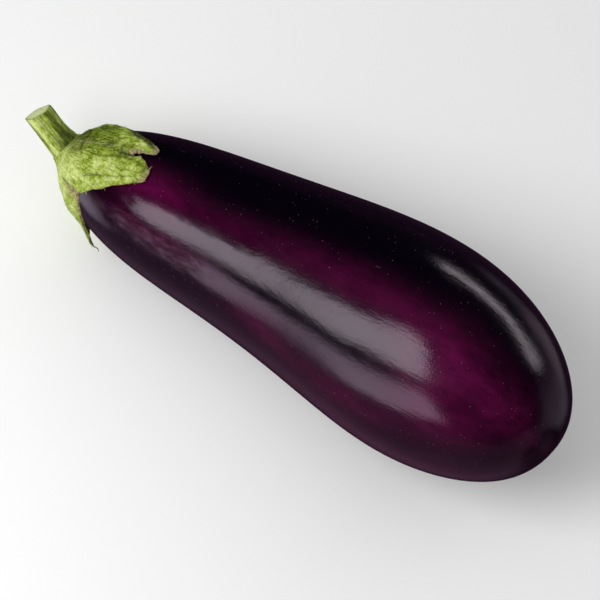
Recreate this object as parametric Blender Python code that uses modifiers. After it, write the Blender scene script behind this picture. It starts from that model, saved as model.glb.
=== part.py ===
"""An eggplant as picked, lying on its side.

The fruit is one solid body.  The calyx is the leathery cap of five fused sepals that
wraps the fruit's shoulder, and the stem is the cut stub of stalk in its crown.
+Z is up and +X runs from the stem to the blossom end.  The origin is on the small flat
spot that the fruit rests on, straight below the fruit's centre of mass.
"""

from collections import namedtuple
from math import atan2, cos, exp, pi, radians, sin

import bmesh
import bpy
import numpy as np
from mathutils import Vector
from numpy.polynomial import Polynomial

MM = 0.001
TOUCHING = 0.01 * MM

# The fruit's centreline, at shares of the way from the stem end to the blossom end
FRUIT_LENGTH = 210.5 * MM
STEM_END_X = -120.3 * MM
BEND_STATIONS = np.array([0.0, 0.35, 0.7, 1.0])
BEND_SIDEWAYS = np.array([4.7, 4.6, -0.6, -18.5]) * MM
BEND_HEIGHT = np.array([27.6, 30.8, 40.3, 53.6]) * MM

# The fruit's girth: radii at such shares, and how bluntly the two ends close
GIRTH_STATIONS = np.array([0.03, 0.12, 0.3, 0.5, 0.72, 0.9, 0.98])
GIRTH_RADII = np.array([12.9, 22.5, 29.4, 34.9, 39.5, 31.2, 17.2]) * MM
STEM_END_BLUNTNESS = 0.42
BLOSSOM_END_BLUNTNESS = 0.38
FRUIT_SEGMENTS = 52
FRUIT_RINGS = 40

# Shallow furrows that run out of the blossom scar, and the scar's dimple
FURROWS = 3
FURROW_ANGLE = radians(58)
FURROW_DEPTH = 0.022
FURROW_SHARPNESS = 6
FURROW_SHARE = 0.94
FURROW_SPREAD = 0.07
DIMPLE_DEPTH = 1.2 * MM
DIMPLE_RADIUS = 6.0 * MM

# The slab under the floor level that planes the resting spot
RESTING_SLAB = Vector((120.0, 80.0, 10.0)) * MM

# The stem: a bent, ribbed stub, its points measured from the fruit's crown
STEM_FOOT = Vector((-0.9, 1.0, 1.3)) * MM
STEM_BEND = Vector((-4.4, 1.2, 2.1)) * MM
STEM_CUT = Vector((-17.2, 4.2, 11.0)) * MM
STEM_RADIUS = 5.15 * MM
STEM_FLARE = 1.3 * MM
STEM_FLARE_WAY = 0.8
STEM_RIBS = 5
STEM_RIB_HEIGHT = 0.35 * MM
STEM_CUT_DOME = 0.6 * MM
STEM_SEGMENTS = 40
STEM_RINGS = 8

# The calyx's wall, and how far it stands off the skin where it lies closest
CALYX_LIFT = 0.45 * MM
CALYX_THICKNESS = 1.1 * MM
MARGIN_THICKNESS_SHARE = 0.6
CALYX_COLUMNS = 12
COLLAR_ROWS = 4
CUP_ROWS = 6
BLADE_ROWS = 8

# The calyx's collar: where on the stem it starts and how it curves onto the shoulder
COLLAR_WAY = 0.28
COLLAR_GAP = 0.32 * MM
COLLAR_HANDLE = 0.27
SHOULDER_HANDLE = 0.45
SHOULDER_REACH = 10.0 * MM
SHOULDER_SWELL = 1.3 * MM
SHOULDER_SPREAD = 5.5 * MM

# The notches between the sepals: angle round the fruit (0 is +Y, 90 is up) and reach
# over the skin from the crown.  Sepal n lies between notch n and the next one.
NOTCHES = (
    (radians(86.5), 38.6 * MM),
    (radians(144.5), 25.4 * MM),
    (radians(226), 27.0 * MM),
    (radians(310), 28.0 * MM),
    (radians(396), 20.5 * MM),
)

# A sepal: the angles between which it ends, its reach, how far each edge bulges out, how
# high it puffs over the shoulder, how far its tip stands off, and where across it the
# furrows run
Sepal = namedtuple("Sepal", "tip_from tip_to tip_reach belly_from belly_to puff tip_lift furrows")
SEPALS = (
    Sepal(radians(92), radians(106), 49.9 * MM, radians(4), radians(-3.5), 0.5 * MM, 0.3 * MM, (0.17, 0.75)),
    Sepal(radians(194), radians(199), 36.2 * MM, radians(-3), radians(-5), 0.9 * MM, 2.6 * MM, (0.5,)),
    Sepal(radians(262), radians(274), 39.0 * MM, radians(3), radians(3), 0.5 * MM, 0.3 * MM, (0.25, 0.67)),
    Sepal(radians(333), radians(346), 41.0 * MM, radians(2), radians(-22), 0.6 * MM, 0.3 * MM, (0.33, 0.75)),
    Sepal(radians(431), radians(440), 47.6 * MM, radians(-2), radians(-2), 1.9 * MM, 0.3 * MM, (0.42, 0.75)),
)
LOOSE_SEPAL = 1
PUFF_REACH = 19.5 * MM
PUFF_SPREAD = 3.6 * MM
FOLDS_FROM = 8.0 * MM
FOLDS_FULL = 20.0 * MM
FOLD_DEPTH = 0.45 * MM
FOLD_FADE = 0.5
FURROW_WIDTH = 0.09
TIP_LIFT_POWER = 1.5
TIP_LIFT_LEAST = 0.25
TIP_ROUNDING = 1.8 * MM
TIP_ROUNDING_POWER = 5
EDGE_WAVE = radians(1.2)
EDGE_WAVES = 3

SKIN_COLOUR = (0.028, 0.006, 0.022)
CALYX_COLOUR = (0.27, 0.36, 0.09)
STEM_COLOUR = (0.23, 0.33, 0.07)
CUTTER_COLOUR = (0.5, 0.5, 0.5)


def through(stations, values):
    """The smooth curve through the values."""
    return Polynomial.fit(stations, values, len(stations) - 1)


def smooth_step(low, high, value):
    way = min(max((value - low) / (high - low), 0.0), 1.0)
    return way * way * (3 - 2 * way)


def end_rounding(share):
    return share**STEM_END_BLUNTNESS * (1 - share) ** BLOSSOM_END_BLUNTNESS


sideways = through(BEND_STATIONS, BEND_SIDEWAYS)
height = through(BEND_STATIONS, BEND_HEIGHT)
fullness = through(GIRTH_STATIONS, GIRTH_RADII / end_rounding(GIRTH_STATIONS))


def centre(share):
    x = STEM_END_X + FRUIT_LENGTH * share
    return Vector((x, sideways(share), height(share)))


def section_frame(share):
    """Unit vectors along the centreline, level to its left, and over it."""
    along = Vector((FRUIT_LENGTH, sideways.deriv()(share), height.deriv()(share)))
    along.normalize()
    left = Vector((0, 0, 1)).cross(along).normalized()
    return along, left, along.cross(left)


def furrow(share, angle):
    """The share of the radius that the furrows take away."""
    near_scar = exp(-(((share - FURROW_SHARE) / FURROW_SPREAD) ** 2))
    valley = (0.5 + 0.5 * cos(FURROWS * (angle - FURROW_ANGLE))) ** FURROW_SHARPNESS
    return FURROW_DEPTH * near_scar * valley


def skin_point(share, angle):
    along, left, over = section_frame(share)
    radius = fullness(share) * end_rounding(share) * (1 - furrow(share, angle))
    outward = left * cos(angle) + over * sin(angle)
    point = centre(share) + outward * radius
    if share > 0.5:
        point -= along * DIMPLE_DEPTH * exp(-((radius / DIMPLE_RADIUS) ** 2))
    return point


def skin_normal(share, angle):
    step = 0.001
    before = max(share - step, step / 100)
    down = skin_point(share + step, angle) - skin_point(before, angle)
    around = skin_point(share, angle + step) - skin_point(share, angle - step)
    return around.cross(down).normalized()


def reach_table():
    """Distances over the skin from the crown, and the shares that they end at."""
    shares = np.linspace(0.0, 0.7, 400) ** 2.5
    points = [skin_point(share, pi / 2) for share in shares]
    steps = [(b - a).length for a, b in zip(points, points[1:])]
    return np.concatenate([[0.0], np.cumsum(steps)]), shares


REACHES, REACH_SHARES = reach_table()


def share_at(reach):
    return float(np.interp(reach, REACHES, REACH_SHARES))


def material(name, colour, roughness):
    made = bpy.data.materials.new(name)
    made.use_nodes = True
    shader = made.node_tree.nodes["Principled BSDF"]
    shader.inputs["Base Color"].default_value = (*colour, 1.0)
    shader.inputs["Roughness"].default_value = roughness
    shader.inputs["Metallic"].default_value = 0.0
    made.diffuse_color = (*colour, 1.0)
    return made


def add_object(name, bm, collection, finish):
    bmesh.ops.recalc_face_normals(bm, faces=bm.faces)
    mesh = bpy.data.meshes.new(name)
    bm.to_mesh(mesh)
    bm.free()
    mesh.shade_smooth()
    made = bpy.data.objects.new(name, mesh)
    made.data.materials.append(finish)
    collection.objects.link(made)
    return made


def make_fruit(collection, cutters):
    """A sphere drawn out along the bent centreline, with its resting spot cut flat."""
    bm = bmesh.new()
    bmesh.ops.create_uvsphere(bm, u_segments=FRUIT_SEGMENTS, v_segments=FRUIT_RINGS, radius=1)
    for vertex in bm.verts:
        share = min(max((1 + vertex.co.z) / 2, 0.0), 1.0)
        angle = atan2(vertex.co.y, vertex.co.x)
        vertex.co = skin_point(share, angle)
    fruit = add_object("fruit", bm, collection, material("aubergine_skin", SKIN_COLOUR, 0.25))
    flat = fruit.modifiers.new("resting spot", "BOOLEAN")
    flat.operation = "DIFFERENCE"
    flat.solver = "EXACT"
    flat.object = resting_cutter(cutters)
    return fruit


def resting_cutter(cutters):
    """The slab whose top lies at floor level."""
    bm = bmesh.new()
    bmesh.ops.create_cube(bm, size=1.0)
    bmesh.ops.scale(bm, vec=RESTING_SLAB, verts=bm.verts)
    bmesh.ops.translate(bm, vec=(0, 0, -RESTING_SLAB.z / 2), verts=bm.verts)
    cutter = add_object("resting_cutter", bm, cutters, material("cutter", CUTTER_COLOUR, 0.5))
    cutter.hide_render = True
    cutter.display_type = "WIRE"
    return cutter


def stem_centre(way):
    """A point of the stem's bent centreline, from its foot at 0 to its cut at 1."""
    bent = STEM_FOOT * (1 - way) ** 2 + STEM_BEND * 2 * way * (1 - way) + STEM_CUT * way**2
    return centre(0.0) + bent


def stem_frame(way):
    """The stem's direction and two vectors across it that keep the fruit's angles."""
    step = 0.01
    up_stem = (stem_centre(way + step) - stem_centre(way - step)).normalized()
    left = Vector((0, 0, 1)).cross(-up_stem).normalized()
    return up_stem, left, (-up_stem).cross(left)


def stem_radius(way, angle):
    flare = STEM_FLARE * (1 - smooth_step(0.0, STEM_FLARE_WAY, way))
    rib = STEM_RIB_HEIGHT * cos(STEM_RIBS * angle) * min(1.0, 2 * way)
    return STEM_RADIUS + flare + rib


def stem_surface(way, angle, clearance=0.0):
    _, left, over = stem_frame(way)
    outward = left * cos(angle) + over * sin(angle)
    return stem_centre(way) + outward * (stem_radius(way, angle) + clearance)


def make_stem(collection):
    """A grid rolled into a ribbed tube, closed by a flat foot and a domed cut."""
    bm = bmesh.new()
    bmesh.ops.create_grid(bm, x_segments=STEM_SEGMENTS, y_segments=STEM_RINGS, size=1.0)
    for vertex in bm.verts:
        angle = pi * (vertex.co.x + 1)
        vertex.co = stem_surface((vertex.co.y + 1) / 2, angle)
    bmesh.ops.remove_doubles(bm, verts=bm.verts, dist=TOUCHING)
    rims = [edge for edge in bm.edges if edge.is_boundary]
    caps = bmesh.ops.holes_fill(bm, edges=rims, sides=STEM_SEGMENTS)["faces"]
    fans = bmesh.ops.poke(bm, faces=caps)["verts"]
    cut = max(fans, key=lambda vertex: vertex.co.z)
    cut.co += stem_frame(1.0)[0] * STEM_CUT_DOME
    return add_object("stem", bm, collection, material("stalk_green", STEM_COLOUR, 0.6))


def fold_ridges(furrows, across):
    """One on the ridges and nought at the bottoms of the furrows."""
    return 1 - sum(exp(-(((across - at) / FURROW_WIDTH) ** 2)) for at in furrows)


def tip_lift_share(index, across, past):
    """The loose sepal twists, so that one of its edges lifts before the other."""
    twist = across + (1 - across) * past**2 if index == LOOSE_SEPAL else 1.0
    return past**TIP_LIFT_POWER * (TIP_LIFT_LEAST + (1 - TIP_LIFT_LEAST) * twist)


def sepal_lift(index, across, past, reach):
    """How far the sepal's inner face stands off the fruit's skin."""
    sepal = SEPALS[index]
    rise = smooth_step(FOLDS_FROM, FOLDS_FULL, reach)
    puff = sepal.puff * sin(pi * across) * exp(-(((reach - PUFF_REACH) / PUFF_SPREAD) ** 2))
    fold = fold_ridges(sepal.furrows, across) * FOLD_DEPTH * (1 - FOLD_FADE * past)
    tip_lift = sepal.tip_lift * tip_lift_share(index, across, past)
    shoulder = SHOULDER_SWELL * exp(-(((reach - SHOULDER_REACH) / SHOULDER_SPREAD) ** 2))
    return CALYX_LIFT + shoulder + (puff + fold) * rise + tip_lift


def blade_place(index, across, row):
    """Angle, reach and share of the way past the notches for a row below the shoulder."""
    sepal = SEPALS[index]
    from_angle, from_reach = NOTCHES[index]
    to_angle, to_reach = NOTCHES[(index + 1) % len(NOTCHES)]
    if to_angle < from_angle:
        to_angle += 2 * pi
    notch_reach = from_reach + (to_reach - from_reach) * across
    if row <= CUP_ROWS:
        angle = from_angle + (to_angle - from_angle) * across
        return angle, SHOULDER_REACH + (notch_reach - SHOULDER_REACH) * row / CUP_ROWS, 0.0
    past = (row - CUP_ROWS) / BLADE_ROWS
    wave = EDGE_WAVE * sin(2 * pi * EDGE_WAVES * past) * (1 - past)
    from_edge = from_angle + (sepal.tip_from - from_angle) * past
    from_edge -= sepal.belly_from * sin(pi * past) + wave
    to_edge = to_angle + (sepal.tip_to - to_angle) * past
    to_edge += sepal.belly_to * sin(pi * past) + wave
    end_reach = sepal.tip_reach - TIP_ROUNDING * abs(2 * across - 1) ** TIP_ROUNDING_POWER
    reach = notch_reach + (end_reach - notch_reach) * past
    return from_edge + (to_edge - from_edge) * across, reach, past


def blade_point(index, across, row):
    angle, reach, past = blade_place(index, across, row)
    share = share_at(reach)
    lift = sepal_lift(index, across, past, reach)
    return skin_point(share, angle) + skin_normal(share, angle) * lift


def collar_point(index, across, row):
    """A curve from the collar on the stem down and out onto the shoulder."""
    angle, _, _ = blade_place(index, across, 0)
    shoulder = blade_point(index, across, 0)
    slope = (blade_point(index, across, 1) - shoulder).normalized()
    collar = stem_surface(COLLAR_WAY, angle, COLLAR_GAP)
    lower = stem_surface(COLLAR_WAY / 2, angle, 2 * COLLAR_GAP)
    span = (shoulder - collar).length
    below_collar = collar + (lower - collar).normalized() * span * COLLAR_HANDLE
    above_shoulder = shoulder - slope * span * SHOULDER_HANDLE
    way = row / COLLAR_ROWS
    rest = 1 - way
    upper_half = collar * rest**3 + below_collar * 3 * rest**2 * way
    return upper_half + above_shoulder * 3 * rest * way**2 + shoulder * way**3


def add_sepal(bm, index):
    """One grid, its rows run from the collar down to the tip."""
    rows = COLLAR_ROWS + CUP_ROWS + BLADE_ROWS
    grid = bmesh.ops.create_grid(bm, x_segments=CALYX_COLUMNS, y_segments=rows, size=1.0)
    for vertex in grid["verts"]:
        across = (1 + vertex.co.x) / 2
        row = round((1 + vertex.co.y) / 2 * rows)
        if row < COLLAR_ROWS:
            vertex.co = collar_point(index, across, row)
        else:
            vertex.co = blade_point(index, across, row - COLLAR_ROWS)


def border_edges(sheet):
    """The edges that only one face of the sheet has."""
    faces_on = {}
    for polygon in sheet.polygons:
        for key in polygon.edge_keys:
            faces_on[key] = faces_on.get(key, 0) + 1
    return [key for key, count in faces_on.items() if count == 1]


def thin_margins(calyx):
    """A vertex group that thins the wall at the collar and along the free edges."""
    group = calyx.vertex_groups.new(name="thickness")
    group.add(range(len(calyx.data.vertices)), 1.0, "REPLACE")
    for edge in border_edges(calyx.data):
        group.add(edge, 0.0, "REPLACE")
    return group


def make_calyx(collection):
    """Five sepal grids joined into one leaf, then given its wall."""
    bm = bmesh.new()
    for index in range(len(SEPALS)):
        add_sepal(bm, index)
    bmesh.ops.remove_doubles(bm, verts=bm.verts, dist=TOUCHING)
    bmesh.ops.triangulate(bm, faces=bm.faces)
    calyx = add_object("calyx", bm, collection, material("sepal_green", CALYX_COLOUR, 0.7))
    wall = calyx.modifiers.new("wall", "SOLIDIFY")
    wall.thickness = CALYX_THICKNESS
    wall.offset = 1.0
    wall.vertex_group = thin_margins(calyx).name
    wall.thickness_vertex_group = MARGIN_THICKNESS_SHARE
    return calyx


def main():
    for existing in list(bpy.data.objects):
        bpy.data.objects.remove(existing, do_unlink=True)
    parts = bpy.data.collections.new("eggplant")
    cutters = bpy.data.collections.new("cutters")
    for collection in (parts, cutters):
        bpy.context.scene.collection.children.link(collection)
    make_fruit(parts, cutters)
    make_calyx(parts)
    make_stem(parts)


main()
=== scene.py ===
"""A whole eggplant on a pale floor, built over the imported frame."""

from math import cos, pi, radians, sin
import bmesh
import bpy
import numpy as np
from mathutils import Matrix, Vector, noise
from numpy.polynomial import Polynomial


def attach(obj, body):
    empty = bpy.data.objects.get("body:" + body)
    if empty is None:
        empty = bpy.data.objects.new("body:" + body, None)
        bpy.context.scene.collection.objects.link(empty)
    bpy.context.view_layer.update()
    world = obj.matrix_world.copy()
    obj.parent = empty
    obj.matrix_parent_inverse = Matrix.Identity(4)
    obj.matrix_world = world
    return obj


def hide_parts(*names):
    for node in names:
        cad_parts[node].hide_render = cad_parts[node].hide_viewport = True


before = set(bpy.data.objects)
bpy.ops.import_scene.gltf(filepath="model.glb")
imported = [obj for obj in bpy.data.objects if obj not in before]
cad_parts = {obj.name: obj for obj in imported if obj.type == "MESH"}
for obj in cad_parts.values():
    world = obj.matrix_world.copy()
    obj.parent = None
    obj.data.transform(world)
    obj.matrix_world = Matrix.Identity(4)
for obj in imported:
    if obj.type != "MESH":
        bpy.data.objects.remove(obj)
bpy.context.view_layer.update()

# Camera
# The photograph looks down at 65 degrees, from the front and a little from the blossom
# end's side, and from far enough away that the perspective is slight.
MM = 0.001
AIM = Vector((-14.4, -5.45, 35.65)) * MM
CAMERA_AZIMUTH = radians(31.1)
CAMERA_ELEVATION = radians(65.0)
CAMERA_DISTANCE = 0.9
CAMERA_LENS = 149.17
CAMERA_SENSOR = 36.0
CAMERA_CLIP = (0.05, 100.0)


def put_in_scene(name, data):
    made = bpy.data.objects.new(name, data)
    bpy.context.scene.collection.objects.link(made)
    return made


def view_axes():
    """Unit vectors from the aim to the camera, and to the right and down in its picture."""
    level = cos(CAMERA_ELEVATION)
    back = Vector((sin(CAMERA_AZIMUTH) * level, -cos(CAMERA_AZIMUTH) * level, sin(CAMERA_ELEVATION)))
    right = Vector((cos(CAMERA_AZIMUTH), sin(CAMERA_AZIMUTH), 0.0))
    return back, right, right.cross(back)


def place_camera():
    data = bpy.data.cameras.new("camera")
    data.lens = CAMERA_LENS
    data.sensor_width = CAMERA_SENSOR
    data.clip_start, data.clip_end = CAMERA_CLIP
    camera = put_in_scene("camera", data)
    back, _, _ = view_axes()
    camera.location = AIM + back * CAMERA_DISTANCE
    camera.rotation_euler = back.to_track_quat("Z", "Y").to_euler()
    bpy.context.scene.camera = camera


place_camera()
bpy.context.scene.view_settings.view_transform = "Standard"


# Floor and light
# A pale matt floor.  Two joined softboxes, built of rows of area lights, stand in front on
# the stem's side, and a low strip light stands behind.  The room is pale to the eye and to
# the floor, but what the glossy skin mirrors of it is dim, as in a dark studio.
FLOOR_RADIUS = 30.0
FLOOR_SEGMENTS = 96
FLOOR_TONES = ((0.965, 0.965, 0.965, 1), (0.985, 0.985, 0.985, 1))
KEY_RADIANCE = 4.8
KEY_AZIMUTH, KEY_ELEVATION = 225, 48
KEY_DISTANCE = 0.55
KEY_ROWS = 12
# The softboxes' left and right edges: height in their plane and place across, in metres
KEY_LEFT = (
    (-0.275, -0.04), (-0.19, -0.03), (-0.067, -0.165),
    (0.038, -0.285), (0.141, -0.189), (0.25, -0.06),
)
KEY_RIGHT = (
    (-0.275, 0.03), (-0.245, 0.065), (-0.177, 0.115),
    (-0.116, 0.145), (-0.05, 0.145), (-0.02, 0.13),
    (0.066, 0.08), (0.184, 0.06), (0.25, 0.04),
)
BACK_RADIANCE = 5.0
BACK_AZIMUTH, BACK_ELEVATION = 10, 17
BACK_DISTANCE = 1.2
BACK_ACROSS = (-0.46, 0.68)
BACK_OVER = (-0.035, 0.085)
AMBIENT = (0.50, 0.50, 0.50, 1.0)
# What the skin mirrors: the upper room, and the lower room behind and in front, and between
# which directions these change over
MIRRORED_HIGH = (0.002, 0.003, 0.006, 1)
MIRRORED_BEHIND = (0.030, 0.012, 0.028, 1)
MIRRORED_IN_FRONT = (0.21, 0.11, 0.18, 1)
HIGH_TO_LOW = (0.05, -0.12)
BEHIND_TO_FRONT = (0.15, -0.35)
# A pale card low in front of it, with soft edges: distances from its middle along and over it,
# seen from one metre, where each edge starts and where it is full
CARD_AZIMUTH, CARD_ELEVATION = 198, 15
CARD_LEAN = radians(37.45)
CARD_ALONG = ((-0.34, -0.26), (0.72, 0.50))
CARD_OVER = ((-0.30, -0.22), (0.26, 0.06))
CARD_TONES = ((1.0, 0.80, 0.95, 1), (2.9, 2.4, 2.8, 1))
CARD_TONES_BETWEEN = (0.75, 0.35)
# Smaller pale patches, on the floor by the stem, past the blossom end and behind: azimuth and
# elevation, spread, tone
MIRRORED_PATCHES = (
    ((238, -21), 0.05, (1.9, 1.65, 2.0, 1)),
    ((58, -14), 0.20, (0.40, 0.31, 0.40, 1)),
    ((24, -15), 0.06, (0.48, 0.37, 0.45, 1)),
    ((3, -14), 0.015, (0.20, 0.16, 0.20, 1)),
)
PATCH_CORE = 0.05


class Tree:
    """Builds a node tree; an output socket given as an input's value is linked to it."""

    def __init__(self, tree):
        self.tree = tree
        self.tree.nodes.clear()

    def add(self, kind, inputs=None, **settings):
        made = self.tree.nodes.new(kind)
        for key, value in settings.items():
            setattr(made, key, value)
        for key, value in (inputs or {}).items():
            self.put(made.inputs[key], value)
        return made

    def put(self, socket, value):
        if isinstance(value, bpy.types.NodeSocket):
            self.tree.links.new(value, socket)
        else:
            socket.default_value = value

    def math(self, operation, a, b=0.0, clamp=False):
        return self.add("ShaderNodeMath", {0: a, 1: b}, operation=operation, use_clamp=clamp).outputs[0]

    def times(self, a, b):
        return self.math("MULTIPLY", a, b)

    def dot(self, a, b):
        made = self.add("ShaderNodeVectorMath", {0: a, 1: tuple(b)}, operation="DOT_PRODUCT")
        return made.outputs["Value"]

    def remap(self, value, low, high, to_low=0.0, to_high=1.0, smooth=True):
        """The value moved from low..high to to_low..to_high, held at the ends."""
        kind = "SMOOTHSTEP" if smooth else "LINEAR"
        inputs = {"Value": value, "From Min": low, "From Max": high, "To Min": to_low, "To Max": to_high}
        return self.add("ShaderNodeMapRange", inputs, interpolation_type=kind, clamp=True).outputs[0]

    def band(self, value, rise, fall):
        """One between two soft edges, each given as where it starts and where it is full."""
        return self.times(self.remap(value, *rise), self.remap(value, *fall))

    def mix(self, factor, a, b):
        made = self.add("ShaderNodeMix", {0: factor, 6: a, 7: b}, data_type="RGBA", clamp_factor=True)
        return made.outputs[2]

    def noise(self, scale, place=None, detail=3.0, roughness=0.5, stretch=None, offset=(0, 0, 0)):
        """Noise over Object coordinates, with its scale in cells per metre, or over a given place."""
        if place is None:
            place = self.place()
        if stretch is not None or offset != (0, 0, 0):
            scaling = {"Vector": place, "Location": offset, "Scale": stretch or (1, 1, 1)}
            place = self.add("ShaderNodeMapping", scaling).outputs[0]
        inputs = {"Vector": place, "Scale": scale, "Detail": detail, "Roughness": roughness}
        return self.add("ShaderNodeTexNoise", inputs).outputs["Fac"]

    def mottle(self, value, *tones):
        """The value moved up and down by noises, each given with its amount."""
        for tone, amount in tones:
            value = self.math("ADD", value, self.times(self.math("SUBTRACT", tone, 0.5), amount))
        return value

    def attribute(self, name):
        return self.add("ShaderNodeAttribute", attribute_name=name).outputs["Fac"]

    def bump(self, height, distance, normal=None):
        inputs = {"Height": height, "Distance": distance, "Strength": 1.0}
        if normal is not None:
            inputs["Normal"] = normal
        return self.add("ShaderNodeBump", inputs).outputs["Normal"]

    def place(self):
        return self.add("ShaderNodeTexCoord").outputs["Object"]

    def surface(self, inputs, kind="ShaderNodeBsdfPrincipled", out="ShaderNodeOutputMaterial"):
        """Ends the tree in one shader."""
        shader = self.add(kind, inputs)
        self.add(out, {"Surface": shader.outputs[0]})


def new_tree(owner):
    """The emptied node tree of a material or of the world."""
    owner.use_nodes = True
    return Tree(owner.node_tree)


def new_paint(name):
    paint = bpy.data.materials.new(name)
    return paint, new_tree(paint)


def floor():
    bm = bmesh.new()
    bmesh.ops.create_circle(bm, cap_ends=True, segments=FLOOR_SEGMENTS, radius=FLOOR_RADIUS)
    mesh = bpy.data.meshes.new("floor")
    bm.to_mesh(mesh)
    bm.free()
    paint, tree = new_paint("floor")
    colour = tree.mix(tree.noise(0.8, detail=2.0), *FLOOR_TONES)
    tree.surface({"Color": colour}, "ShaderNodeBsdfDiffuse")
    mesh.materials.append(paint)
    made = put_in_scene("floor", mesh)
    made.visible_glossy = False


def direction(azimuth, elevation):
    """Unit vectors to a point of the room, to its right and over it; azimuth 0 is +Y, 90 is +X."""
    a, e = radians(azimuth), radians(elevation)
    towards = Vector((sin(a) * cos(e), cos(a) * cos(e), sin(e)))
    right = Vector((cos(a), -sin(a), 0.0))
    return towards, right, right.cross(towards)


def softbox(name, azimuth, elevation, distance, across, over, radiance):
    """An area light facing the aim, its extents given as (low, high) in its own plane."""
    towards, right, up = direction(azimuth, elevation)
    data = bpy.data.lights.new(name, "AREA")
    data.shape = "RECTANGLE"
    data.size = across[1] - across[0]
    data.size_y = over[1] - over[0]
    data.energy = pi * radiance * data.size * data.size_y
    made = put_in_scene(name, data)
    made.location = AIM + towards * distance + right * sum(across) / 2 + up * sum(over) / 2
    made.rotation_euler = Matrix((-right, up, towards)).transposed().to_euler()
    made.visible_camera = False


def room():
    """The world: pale for eye and floor, and a dim one with a low front card for gloss."""
    world = bpy.data.worlds.new("room")
    bpy.context.scene.world = world
    world.cycles.sampling_method = "NONE"
    tree = new_tree(world)
    way = tree.add("ShaderNodeTexCoord").outputs["Generated"]
    parts = tree.add("ShaderNodeSeparateXYZ", {0: way})
    in_front = tree.remap(parts.outputs[1], *BEHIND_TO_FRONT)
    below = tree.remap(parts.outputs[2], *HIGH_TO_LOW)
    mirrored = tree.mix(below, MIRRORED_HIGH, tree.mix(in_front, MIRRORED_BEHIND, MIRRORED_IN_FRONT))
    towards, right, up = direction(CARD_AZIMUTH, CARD_ELEVATION)
    along = right * cos(CARD_LEAN) - up * sin(CARD_LEAN)
    over = right * sin(CARD_LEAN) + up * cos(CARD_LEAN)
    facing = tree.math("MAXIMUM", tree.dot(way, towards), 0.05)
    a = tree.math("DIVIDE", tree.dot(way, along), facing)
    b = tree.math("DIVIDE", tree.dot(way, over), facing)
    card = tree.times(tree.band(a, *CARD_ALONG), tree.band(b, *CARD_OVER))
    mirrored = tree.mix(card, mirrored, tree.mix(tree.remap(a, *CARD_TONES_BETWEEN), *CARD_TONES))
    for at, spread, tone in MIRRORED_PATCHES:
        near = tree.remap(tree.dot(way, direction(*at)[0]), 1 - spread, 1 - PATCH_CORE * spread)
        mirrored = tree.mix(near, mirrored, tone)
    glossy = tree.add("ShaderNodeLightPath").outputs["Is Glossy Ray"]
    colour = tree.mix(glossy, AMBIENT, mirrored)
    tree.surface({"Color": colour}, "ShaderNodeBackground", "ShaderNodeOutputWorld")


floor()
room()
levels = np.linspace(KEY_LEFT[0][0], KEY_LEFT[-1][0], KEY_ROWS + 1)
for row, (low, high) in enumerate(zip(levels, levels[1:])):
    left_edge = np.interp((low + high) / 2, *zip(*KEY_LEFT))
    right_edge = np.interp((low + high) / 2, *zip(*KEY_RIGHT))
    place = KEY_AZIMUTH, KEY_ELEVATION, KEY_DISTANCE, (left_edge, right_edge), (low, high)
    softbox(f"key_{row}", *place, KEY_RADIANCE)
softbox("back_strip", BACK_AZIMUTH, BACK_ELEVATION, BACK_DISTANCE, BACK_ACROSS, BACK_OVER, BACK_RADIANCE)


# Fruit
# The fruit is one firm body under a waxy, glossy skin, near-black purple with redder
# patches, tiny pale pores and rub marks.  It lies on the floor on a small flat spot.
FRUIT_LENGTH = 210.5 * MM
STEM_END_X = -120.3 * MM
BEND_STATIONS = np.array([0.0, 0.35, 0.7, 1.0])
BEND_SIDEWAYS = np.array([4.7, 4.6, -0.6, -18.5]) * MM
BEND_HEIGHT = np.array([27.6, 30.8, 40.3, 53.6]) * MM
GIRTH_STATIONS = np.array([0.03, 0.12, 0.3, 0.5, 0.72, 0.9, 0.98])
GIRTH_RADII = np.array([12.9, 22.5, 29.4, 34.9, 39.5, 31.2, 17.2]) * MM
STEM_END_BLUNTNESS = 0.42
BLOSSOM_END_BLUNTNESS = 0.38
FURROWS = 3
FURROW_ANGLE = radians(58)
FURROW_DEPTH = 0.022
FURROW_SHARPNESS = 6
FURROW_SHARE = 0.94
FURROW_SPREAD = 0.07
DIMPLE_DEPTH = 1.2 * MM
DIMPLE_RADIUS = 6.0 * MM
SKIN_SEGMENTS = 300
SKIN_RINGS = 290
SKIN_DARK = (0.0016, 0.0004, 0.0030, 1)
SKIN_RED = (0.100, 0.0022, 0.044, 1)
PORE_COLOUR = (0.34, 0.17, 0.24, 1)
RUB_COLOUR = (0.16, 0.07, 0.10, 1)
PORES_PER_METRE = 650.0
WAX_IOR = 1.47
WAX_TINT = (1.0, 0.83, 0.97, 1.0)
DENT_DEPTH = 0.16 * MM
STREAK_DEPTH = 0.042 * MM
GRAIN_DEPTH = 0.030 * MM
PORE_DEPTH = 0.04 * MM


def through(stations, values):
    """The smooth curve through the values."""
    return Polynomial.fit(stations, values, len(stations) - 1)


def smooth_step(low, high, value):
    way = np.clip((value - low) / (high - low), 0.0, 1.0)
    return way * way * (3 - 2 * way)


def end_rounding(share):
    return share**STEM_END_BLUNTNESS * (1 - share) ** BLOSSOM_END_BLUNTNESS


sideways = through(BEND_STATIONS, BEND_SIDEWAYS)
height = through(BEND_STATIONS, BEND_HEIGHT)
fullness = through(GIRTH_STATIONS, GIRTH_RADII / end_rounding(GIRTH_STATIONS))


def unit(vectors):
    return vectors / np.linalg.norm(vectors, axis=-1, keepdims=True)


def centre(share):
    return np.stack([STEM_END_X + FRUIT_LENGTH * share, sideways(share), height(share)], axis=-1)


def section_frame(share):
    """Unit vectors along the centreline, level to its left, and over it."""
    length = np.full_like(share, FRUIT_LENGTH)
    along = unit(np.stack([length, sideways.deriv()(share), height.deriv()(share)], axis=-1))
    left = unit(np.cross([0.0, 0.0, 1.0], along))
    return along, left, np.cross(along, left)


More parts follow.
